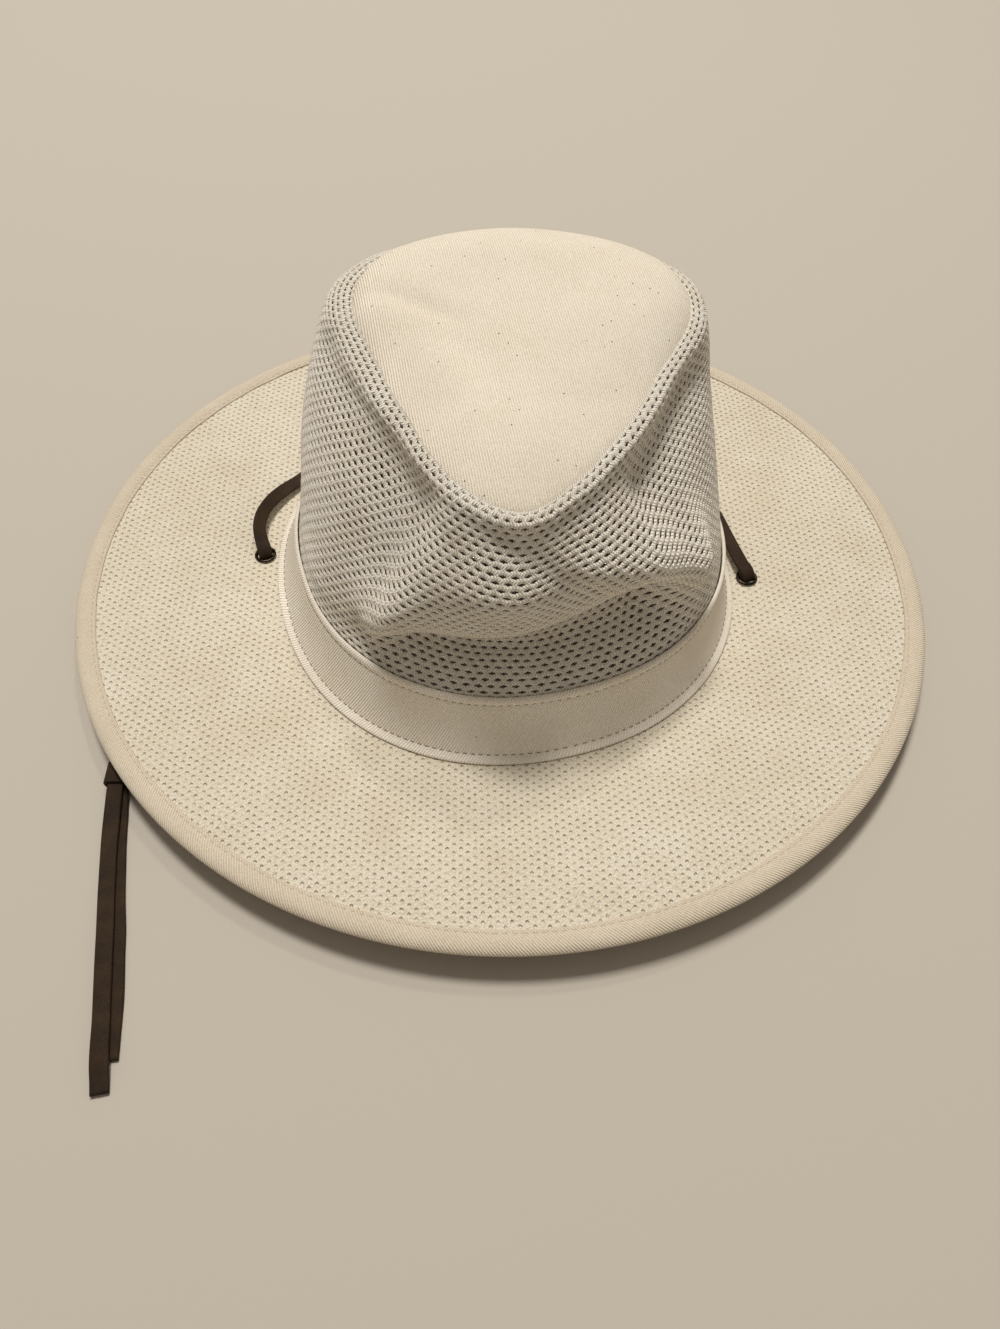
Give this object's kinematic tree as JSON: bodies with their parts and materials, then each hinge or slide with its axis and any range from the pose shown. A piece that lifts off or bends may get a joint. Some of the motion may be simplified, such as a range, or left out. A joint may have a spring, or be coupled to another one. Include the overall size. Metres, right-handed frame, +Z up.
{
  "type": "safari hat",
  "caption": "Wide-brimmed safari hat with a knitted mesh crown pinched at the front, a twill top and band, a stiff bound brim and a flat leather chin lace with a slide.",
  "frame": {"origin": "on the surface the hat rests on, under the middle of the brim", "axes": "+Z up, the front of the hat towards -Y, +X to the right of a viewer who faces the front"},
  "size_m": [0.36, 0.3862, 0.1223],
  "materials": {
    "twill": "woven cotton twill, matte",
    "crown_mesh": "knitted mesh with staggered round holes, matte",
    "brim_mesh": "stiffened fine knitted mesh, matte",
    "dark_metal": "black-bronze plated brass, glossy",
    "leather": "dark brown split leather, dull"
  },
  "bodies": {
    "root": {"crown_tip": "twill", "crown_side": "crown_mesh", "hat_band": "twill", "brim": "brim_mesh", "brim_binding": "twill", "eyelet_left": "dark_metal", "eyelet_right": "dark_metal", "chin_lace_back": "leather", "chin_lace_left": "leather", "chin_lace_right": "leather", "lace_slide": "leather"}
  },
  "joints": []
}
